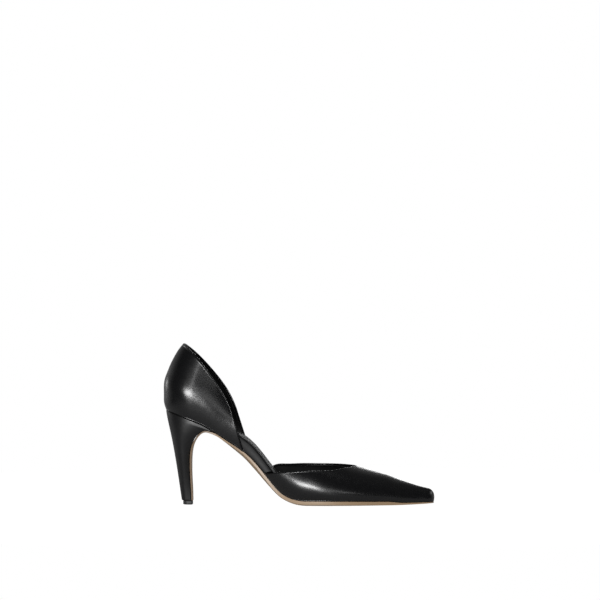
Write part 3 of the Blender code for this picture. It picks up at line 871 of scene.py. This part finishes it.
# Pieces

def addSheet(name, sheet, wall, depth, slot, material, *nodes):
    body, faces = sheetBody(*sheet, wall, depth)
    piece = addMesh(name, body, faces, slot, *nodes)
    piece.data.materials.append(material)


addSheet(
    "vampLeather",
    vampSheet(vampLook["leather"] / 2),
    vampLook["leather"],
    0.0,
    "black_leather",
    calf,
    "vamp",
)
addSheet(
    "vampLining",
    vampSheet(vampLook["liningDrop"] + vampLook["lining"] / 2, vampLook["liningInset"]),
    vampLook["lining"],
    vampLook["leather"] + vampLook["liningGap"],
    "black_lining",
    liningLeather,
)
print("vamp ready")

addSheet(
    "quarterLeather",
    quarterSheet(quarterLook["leather"] / 2, quarterLook["leatherInset"]),
    quarterLook["leather"],
    0.0,
    "black_leather",
    calf,
    "quarter",
)
addSheet(
    "quarterLining",
    quarterSheet(quarterLook["liningDrop"] + quarterLook["lining"] / 2, quarterLook["liningInset"]),
    quarterLook["lining"],
    quarterLook["leather"] + quarterLook["liningGap"],
    "black_lining",
    liningLeather,
)
print("quarter ready")


ringLook = {
    "steps": 5,
    "dropShare": 0.45,
    "reachShare": 0.9,
    "wallStart": 0.5,
    "wallShare": 0.2,
}


def soleAcross(count):
    # places from side to side, closer near the edges
    return np.sin(np.linspace(-1, 1, count) * math.pi / 2)


def soleRing(along, across):
    # the outsole's section as a top row and a bottom row
    centre = planCentre(along) * ball
    crown = last["crown"] * planCrown(along)
    edge = last["sole"] * soleEdge(along)
    swell = last["sole"] * (soleMiddle(along) - soleEdge(along))
    flat = outsoleLook["flatTread"]
    pastFlat = np.maximum(np.abs(across) - flat, 0) / (1 - flat)
    depth = edge + swell * (1 - np.abs(across) ** outsoleLook["swellPower"])
    y = centre + (planY(along, across) - centre) * float(soleWidth(along))
    top = lastBottom(along, -gap + crown * across**2)
    bottom = lastBottom(along, -gap - depth + crown * pastFlat**2)
    return y, top, bottom


def roundedRing(y, top, bottom, radius):
    # close a top row and a bottom row with rounded lower corners and nearly sharp upper ones
    upper = [np.array((top[0][i], y[i], top[1][i])) for i in range(len(y))]
    lower = [np.array((bottom[0][i], y[i], bottom[1][i])) for i in range(len(y))]
    steps = ringLook["steps"]

    def corner(top, bottom, inner):
        down = bottom - top
        drop = np.linalg.norm(down)
        way = inner - bottom
        reach = np.linalg.norm(way)
        size = min(radius, drop * ringLook["dropShare"], reach * ringLook["reachShare"])
        if drop < 1e-9 or reach < 1e-9:
            return [bottom] * (steps + 2)
        down = down / drop
        way = way / reach
        heart = bottom - down * size + way * size
        start = min(radius * ringLook["wallStart"], drop * ringLook["wallShare"])
        walls = [top + down * start]
        bends = np.linspace(0, math.pi / 2, steps + 1)
        return walls + [heart - way * size * math.cos(a) + down * size * math.sin(a) for a in bends]

    right = corner(upper[-1], lower[-1], lower[-2])
    left = corner(upper[0], lower[0], lower[1])
    return upper + right + lower[-2:0:-1] + left[::-1]


def breastPath():
    # the outer face of the outsole from the arch to the heel's tip, by length
    rows = []
    for along in (*outsoleLook["lead"], outsoleLook["turn"]):
        x, z = lastBottom(along, -gap - last["sole"] * soleMiddle(along))
        rows.append((x, z, planHalf(along) * soleWidth(along) * ball))
    for up, along, half in outsoleLook["breast"]:
        rows.append((along * length, up * last["heelHeight"], half * ball))
    rows[-1] = (rows[-1][0], topPieceLook["height"] + gap, rows[-1][2])
    rows = np.array(rows, float)
    run = np.concatenate([[0], np.cumsum(np.hypot(*np.diff(rows[:, :2], axis=0).T))])
    curves = [fairCurve(np.column_stack([run, rows]), i) for i in (1, 2, 3)]
    return curves, run[2], run[-1]


def breastPoint(curves, run, lift):
    # a point of that face moved into the heel by lift, and its half width
    step = tiny / 10
    dx = curves[0](run + step) - curves[0](run - step)
    dz = curves[1](run + step) - curves[1](run - step)
    size = np.hypot(dx, dz)
    return curves[0](run) + lift * dz / size, curves[1](run) - lift * dx / size, curves[2](run)


def flapThickness(run, start):
    first = last["sole"] * float(soleMiddle(outsoleLook["turn"]))
    share = np.clip((run - start) / outsoleLook["thinRun"], 0, 1)
    return first + (outsoleLook["breastThickness"] - first) * share * share * (3 - 2 * share)


def makeOutsole():
    look = outsoleLook
    across = soleAcross(look["points"])
    tip = 1 - (last["toeOverhang"] + look["toeGap"]) / length
    shares = np.linspace(0, 1, look["toeRings"])
    toe = [tip - (tip - look["toeStart"]) * s**2 for s in shares]
    rest = list(np.linspace(look["toeStart"], look["turn"], look["soleRings"])[1:])
    rings = [roundedRing(*soleRing(along, across), look["edgeRound"]) for along in toe + rest]
    curves, start, end = breastPath()
    turn = look["turn"]
    swell = last["sole"] * (soleMiddle(turn) - soleEdge(turn))
    swell = swell * np.abs(across) ** look["swellPower"]
    flat = np.ones(len(across))
    for run in np.linspace(start, end, look["flapRings"])[1:]:
        inner = breastPoint(curves, run, flapThickness(run, start))
        outer = breastPoint(curves, run, swell * np.clip(1 - (run - start) / look["thinRun"], 0, 1))
        level = outer[1][0] if run == end else inner[1]
        centre = planCentre(turn) * ball * np.clip(1 - (run - start) / look["centreRun"], 0, 1)
        top = inner[0] * flat, level * flat
        rings.append(roundedRing(centre + across * outer[2], top, outer[:2], look["edgeRound"]))
    piece = addLoft("outsoleLeather", rings, "tan_sole_leather", "outsole")
    paintSoleEdge(piece.data, len(rings[0]), len(across))
    piece.data.materials.append(tanLeather)


def paintSoleEdge(mesh, pointCount, topCount):
    # marks the sole's side, painted shade along its top where it meets the upper, and painted shade on
    # its flap by the heel's breast
    cornerCount = ringLook["steps"] + 2
    front, fade = outsoleLook["flapShadeFront"], outsoleLook["flapShadeFade"]
    side = mesh.attributes.new("edge", "FLOAT", "POINT")
    line = mesh.attributes.new("paintedSeamShade", "FLOAT", "POINT")
    flapShade = mesh.attributes.new("paintedBreastShade", "FLOAT", "POINT")
    for vertex in range(len(mesh.vertices)):
        i = vertex % pointCount
        right = topCount - 1 <= i < topCount + cornerCount
        onSide = right or i >= pointCount - cornerCount or i == 0
        side.data[vertex].value = 1.0 if onSide else 0.0
        # the top row carries the painted shade where the sole meets the upper
        line.data[vertex].value = 1.0 if i < topCount else 0.0
        # painted shade on the flap's side, full toward the heel and fading out forward
        down = np.clip((front - mesh.vertices[vertex].co.x) / fade, 0, 1)
        flapShade.data[vertex].value = float(down) if onSide else 0.0


makeOutsole()
print("outsole ready")

heelLook = {
    "rim": 0.0008,
    "tipBack": 0.0156,
    "cornerRound": 0.0006,
    "rimRound": 0.0003,
    "frontPoints": 30,
    "frontCrowd": 1.6,
    "backPoints": 34,
    "backBends": (2, 88.5),
    "cornerShare": 0.9,
    "pullShare": 0.5,
    "wedgeReach": 1.15,
    "seatBlend": 0.6,
    "cornerFade": 0.25,
    "tipUps": (0, 0.002, 0.005),
    "tipPull": {0: 0.0004, 0.002: 0.00015},
    "firstUp": 0.012,
    "rings": 90,
    "rimRises": (0.3, 0.55, 0.75, 0.9, 1.0),
    # up, half, widest, bow
    "rows": [
        (0.00, 0.083, 0.52, 0.000),
        (0.15, 0.108, 0.53, 0.004),
        (0.35, 0.158, 0.55, 0.009),
        (0.55, 0.212, 0.57, 0.011),
        (0.75, 0.262, 0.58, 0.008),
        (0.90, 0.296, 0.585, 0.003),
        (1.00, 0.316, 0.585, 0.000),
    ],
}


def heelRing(back, front, half, widest, breastHalf, seatShare, pull=0.0, corner=0.0):
    # a D-shaped section, flat in front; pull draws it in all round, corner rounds its front edges
    look = heelLook
    ahead = 1 - np.linspace(0, 1, look["frontPoints"]) ** look["frontCrowd"] * (1 - widest)
    bends = np.radians(np.linspace(*look["backBends"], look["backPoints"]))
    share = np.concatenate([ahead, widest * (1 - np.sin(bends))])
    depth = math.hypot(front[0] - back[0], front[1] - back[1])
    x = back[0] + (front[0] - back[0]) * share
    z = back[1] + (front[1] - back[1]) * share
    hind = np.clip(share / widest, 0, 1)
    fore = np.clip((share - widest) / (1 - widest), 0, 1)
    wide = half * np.sqrt(1 - (1 - hind) ** 2) + (breastHalf - half) * fore**2
    near = np.clip(((share - 1) * depth + corner) / max(corner, 1e-9), 0, 1)
    cornerCut = corner * (1 - np.sqrt(1 - near**2)) * look["cornerShare"]
    pulled = x + pull * np.maximum(1 - 2 * share, 0)
    ring = {}
    for side in (-1, 1):
        y = wide * side * (1 - seatShare) + planY(x / length, side) * seatShare
        y = y - side * cornerCut
        y = y - side * np.minimum(pull, np.abs(y) * look["pullShare"])
        ring[side] = list(zip(pulled, y, z))
    return ring[-1] + ring[1][::-1]


def underLast(x, drop):
    # height at x of a face that lies below the last bottom by drop
    along = x / length
    rise = lastHeight(along + tiny) - lastHeight(along - tiny)
    return lastHeight(along) - drop * np.hypot(1, rise / (2 * tiny * length))


def makeHeel():
    curves, start, end = breastPath()
    look = heelLook
    wedge = outsoleLook["turn"] - outsoleLook["wedgeTip"]
    wedgeRun = start + wedge * length * look["wedgeReach"]
    heelHalf = fairCurve(heelLook["rows"], 1)
    heelWidest = fairCurve(heelLook["rows"], 2)
    heelBow = fairCurve(heelLook["rows"], 3)
    bottom = np.array([look["tipBack"], topPieceLook["height"] + gap])
    seatBack = np.array(lastBottom(last["seatInset"] / length, -gap), float)
    rim = np.array([0, -look["rim"]])
    rings = []
    for up in [*look["tipUps"], *np.linspace(look["firstUp"], 1, look["rings"])]:
        run = end + (wedgeRun - end) * up
        x, z, breastHalf = breastPoint(curves, run, flapThickness(run, start) + gap)
        if up == 0:
            z = bottom[1]
        back = bottom + (seatBack + rim - bottom) * up
        back[0] += heelBow(up) * last["heelHeight"]
        half, widest = heelHalf(up) * ball, float(heelWidest(up))
        seatShare = np.clip((up - look["seatBlend"]) / (1 - look["seatBlend"]), 0, 1) ** 2
        pull = look["tipPull"].get(up, 0.0)
        corner = look["cornerRound"] * np.clip((1 - up) / look["cornerFade"], 0, 1)
        ring = heelRing(back, (x, z), half, widest, breastHalf, seatShare, pull, corner)
        rings.append(ring)
    # the rim rises from the last of these rings to the last's bottom
    for rise in look["rimRises"]:
        pull = look["rimRound"] * (1 - math.sqrt(1 - max(rise * 2 - 1, 0) ** 2))
        seat = heelRing(seatBack, (x, z), half, widest, breastHalf, 1.0, pull)
        raised = []
        for (px, py, _), (_, _, pz) in zip(seat, ring):
            raised.append((px, py, pz + (underLast(px, gap) - pz) * rise))
        rings.append(raised)
    piece = addLoft("heelCover", rings, "black_leather", "heel")
    piece.data.materials.append(heelLeather)


makeHeel()
print("heel ready")


def makeTopPiece():
    look = topPieceLook
    half = look["width"] / 2
    edge = look["topRound"]
    rings = []
    for z, pull in look["foot"] + [(look["height"] - edge, 0), (look["height"], edge)]:
        back = np.array([look["back"], z])
        front = np.array([look["back"] + look["length"] - pull, z])
        flat = half * look["frontShare"]
        rings.append(heelRing(back, front, half, look["widest"], flat, 0.0, pull, look["cornerRound"]))
    piece = addLoft("topPiece", rings, "black_rubber", "top_piece")
    piece.data.materials.append(rubber)


makeTopPiece()

shankLook = {
    "depth": 0.0066,
    "extra": 0.0021,
    "taper": (0.27, 0.375),
    "bulge": 0.035,
    "cornerWide": 0.03,
    "cornerHigh": 0.12,
    "faceReach": 0.85,
    "cornerPoints": 6,
    "sidePoints": 9,
    "facePoints": 12,
    "quarterSearch": (0.2, 0.36),
    "vampSearch": (0.3, 0.46),
    "endPull": 0.97,
    "endRing": 0.006,
    "rings": 60,
}


def shankDepth(along):
    # deeper by the quarter
    full, slim = shankLook["taper"]
    rear = np.clip((slim - along) / (slim - full), 0, 1)
    return shankLook["depth"] + shankLook["extra"] * rear**2 * (3 - 2 * rear)


def shankShape():
    # the strip's section: across from -1 to 1, up from 0 to 1, with full sides and round corners
    look = shankLook
    wide, high = look["cornerWide"], look["cornerHigh"]
    bends = np.linspace(0, math.pi / 2, look["cornerPoints"])
    straight = np.linspace(1 - high, high, look["sidePoints"])[1:-1]
    side = [(1 - wide + wide * math.sin(a), 1 - high + high * math.cos(a)) for a in bends]
    side += [(1.0, up) for up in straight]
    side += [(1 - wide + wide * math.cos(a), high - high * math.sin(a)) for a in bends]
    full = [(x + look["bulge"] * 4 * up * (1 - up) * x, up) for x, up in side]
    flat = np.linspace(-look["faceReach"], look["faceReach"], look["facePoints"])
    top = [(x, 1.0) for x in flat]
    foot = [(-x, 0.0) for x in flat]
    ring = [(-x, up) for x, up in full[::-1]] + top + full + foot
    start = len(full) // 2
    return ring[start:] + ring[:start]


def crossing(search, up, isPast):
    # where the strip, at that share of its depth, meets a seam
    low, high = search
    for _ in range(halvings):
        middle = (low + high) / 2
        x, z = lastBottom(middle, shankDepth(middle) * up)
        if isPast(x, z):
            high = middle
        else:
            low = middle
    return middle


def quarterSeam(side, up):
    foot = quarterLook["front"][side] * length
    level = lastHeight(foot / length)

    def isPast(x, z):
        return x > foot + quarterLook["lean"] * (z - level) + gap

    return crossing(shankLook["quarterSearch"], up, isPast)


def vampSeam(side, up):
    throatHeight = lastHeight(last["throat"]) + last["throatDepth"]
    tail = vampLook["back"] * length

    def isPast(x, z):
        along = max(x + 2 * gap, tail) / length
        return x >= tail - 4 * gap and z < throatHeight * rimShare[side](along) + 2 * gap

    return crossing(shankLook["vampSearch"], up, isPast)


def makeShankCover():
    shape = shankShape()
    levels = sorted({round(up, 6) for _, up in shape})
    ends = {}
    for side in (-1, 1):
        for up in levels:
            ends[side, up] = quarterSeam(side, up), vampSeam(side, up)
    rings = []
    inner = np.linspace(shankLook["endRing"], 1 - shankLook["endRing"], shankLook["rings"])
    for share in [0.0, *inner, 1.0]:
        ring = []
        pull = shankLook["endPull"] if share in (0.0, 1.0) else 1.0
        for across, up in shape:
            up = round(up, 6)
            place = 0.0
            for side, weight in ((-1, (1 - across) / 2), (1, (1 + across) / 2)):
                first, final = ends[side, up]
                place += weight * (first + (final - first) * share)
            crown = last["crown"] * planCrown(place) * min(abs(across), 1) ** 2
            x, z = lastBottom(place, shankDepth(place) * (0.5 + (up - 0.5) * pull) + crown)
            ring.append((float(x), float(planY(place, across * pull)), float(z)))
        rings.append(ring)
    piece = addLoft("shankCover", rings, "black_leather", "shank_cover")
    piece.data.materials.append(wrapLeather)


makeShankCover()
print("shank ready")

insoleLook = {
    "inset": 0.0028,
    "thickness": 0.0030,
    "sock": 0.0010,
    "edgeRound": 0.0004,
    "endGap": 0.0002,
    "seatRun": 0.0208,
    "toeRun": 0.0103,
    "points": 31,
    "seatRings": 24,
    "middleRings": 170,
    "toeRings": 20,
    # along, over the shank
    "rows": [(0.00, 0.0), (0.115, 0.0), (0.252, 1.0), (0.415, 1.0), (0.530, 0.0), (1.00, 0.0)],
}


def makeInsole():
    look = insoleLook
    inset = look["inset"]
    overShank = levelCurve(look["rows"], 1)
    back = (last["seatInset"] + inset) / length
    tip = 1 - (last["toeOverhang"] + inset) / length
    shares = np.linspace(0, 1, look["seatRings"])
    seat = [back + (look["endGap"] + look["seatRun"] * s**2) / length for s in shares]
    toeStart = tip - (look["endGap"] + look["toeRun"]) / length
    middle = list(np.linspace(seat[-1], toeStart, look["middleRings"])[1:])
    shares = np.linspace(1, 0, look["toeRings"])[1:]
    toe = [tip - (look["endGap"] + look["toeRun"] * s**2) / length for s in shares]
    across = soleAcross(look["points"])
    rings = []
    for along in seat + middle + toe:
        share = float(overShank(along))
        bottomLift = (shankDepth(along) + gap) * share
        thickness = look["thickness"] + (look["sock"] - look["thickness"]) * share
        crown = last["crown"] * planCrown(along) * across**2
        y = planY(along, across, inset)
        topRow = lastBottom(along, bottomLift + thickness + crown)
        lowRow = lastBottom(along, bottomLift + crown)
        rings.append(roundedRing(y, lowRow, topRow, look["edgeRound"]))
    piece = addLoft("sock", rings, "black_lining", "insole")
    piece.data.materials.append(sockLeather)


makeInsole()
print("insole ready")


# Floor, light and camera

studio = {
    "floorRadius": 0.5,
    "floorSides": 96,
    "floorRoughness": 0.9,
    "floor": (0.48, 0.48, 0.48),
    "floorWhite": 0.92,
    "floorGlow": 0.06,
    "floorBounce": 0.32,
    "aim": (0.00084, 0.0, 0.1783),
    "azimuth": 1.0,
    "elevation": 2.0,
    "distance": 4.933,
    "lens": 340,
    "sensor": 36,
    "roomGlow": 0.02,
    "wallGlow": 0.25,
    "wallSide": (0.0, 0.45),
    "wallTop": (0.30, 0.75),
    "wallFade": 0.1,
    # name, position, aim, width, height, watts
    "lights": [
        ("key", (-0.50, -2.14, 0.40), (-0.02, 0, 0.06), 1.3, 0.5, 54),
        ("high", (0.02, -2.0, 1.10), (-0.06, 0, 0.1), 0.3, 0.3, 1.3),
        ("fill", (1.25, -2.4, 0.72), (0.03, 0, 0.03), 1.2, 0.3, 3),
        ("toeSide", (1.63, 0.76, 1.1), (0.1, 0, 0.02), 0.5, 0.5, 1.5),
        ("backLeft", (-1.85, 1.45, 0.3), (-0.1, 0, 0.08), 0.5, 0.5, 2),
        ("medial", (0.2, 2.3, 0.4), (0, 0, 0.05), 1.0, 0.5, 4),
        ("overhead", (0.1, 0.2, 2.2), (0.0, 0, 0), 1.2, 0.6, 3),
    ],
}


def makeFloor():
    mesh = bpy.data.meshes.new("floor")
    radius = studio["floorRadius"]
    angles = np.linspace(0, 2 * math.pi, studio["floorSides"] + 1)[:-1]
    rim = [(radius * math.cos(a), radius * math.sin(a), 0) for a in angles]
    mesh.from_pydata(rim, [], [list(range(len(rim)))])
    floor = bpy.data.objects.new("floor", mesh)
    bpy.context.scene.collection.objects.link(floor)
    finish = Finish("floorPaper")
    seen = finish.node("ShaderNodeLightPath", {}, {}, "Is Camera Ray")
    bounced = finish.node("ShaderNodeLightPath", {}, {}, "Is Diffuse Ray")
    glow = finish.blend(bounced, (studio["floorGlow"],) * 3, (studio["floorBounce"],) * 3)
    finish.feed({
        "Base Color": (*studio["floor"], 1),
        "Roughness": studio["floorRoughness"],
        "Specular IOR Level": 0.0,
        "Emission Color": finish.blend(seen, glow, (studio["floorWhite"],) * 3),
        "Emission Strength": 1.0,
    })
    mesh.materials.append(finish.material)


def makeLights():
    for name, position, aim, width, height, watts in studio["lights"]:
        lamp = bpy.data.lights.new(name, "AREA")
        lamp.shape = "RECTANGLE"
        lamp.size = width
        lamp.size_y = height
        lamp.energy = watts
        light = bpy.data.objects.new(name, lamp)
        light.location = position
        way = Vector(aim) - Vector(position)
        light.rotation_euler = way.to_track_quat("-Z", "Y").to_euler()
        bpy.context.scene.collection.objects.link(light)


def makeWorld():
    # white to the camera; to the shoe a pale wall behind it, up to some height, in a dark room
    world = bpy.data.worlds.new("studio")
    world.use_nodes = True
    bpy.context.scene.world = world
    sky = Graph(world.node_tree)
    sky.tree.nodes.clear()
    way = sky.node("ShaderNodeTexCoord", {}, {}, "Generated")
    behind = sky.node("ShaderNodeSeparateXYZ", {}, {0: way}, "Y")
    above = sky.node("ShaderNodeSeparateXYZ", {}, {0: way}, "Z")
    side = sky.spread(behind, *studio["wallSide"])
    wall = side * sky.spread(above, *studio["wallTop"], 1.0, studio["wallFade"])
    room = wall * studio["wallGlow"] + studio["roomGlow"]
    seen = sky.node("ShaderNodeLightPath", {}, {}, "Is Camera Ray")
    glow = sky.node("ShaderNodeMix", {"data_type": "FLOAT"}, {0: seen, 2: room, 3: 1.0})
    background = sky.node("ShaderNodeBackground", {}, {"Color": (1, 1, 1, 1), "Strength": glow})
    output = sky.tree.nodes.new("ShaderNodeOutputWorld")
    sky.connect(output.inputs["Surface"], background)


def makeCamera():
    data = bpy.data.cameras.new("camera")
    data.lens = studio["lens"]
    data.sensor_width = studio["sensor"]
    camera = bpy.data.objects.new("camera", data)
    bpy.context.scene.collection.objects.link(camera)
    around, above = math.radians(studio["azimuth"]), math.radians(studio["elevation"])
    flat = math.cos(above)
    way = Vector((math.sin(around) * flat, -math.cos(around) * flat, math.sin(above)))
    camera.location = Vector(studio["aim"]) + way * studio["distance"]
    camera.rotation_euler = (-way).to_track_quat("-Z", "Y").to_euler()
    bpy.context.scene.camera = camera


makeFloor()
makeLights()
makeWorld()
makeCamera()
bpy.context.scene.view_settings.view_transform = "Standard"
print("studio ready")
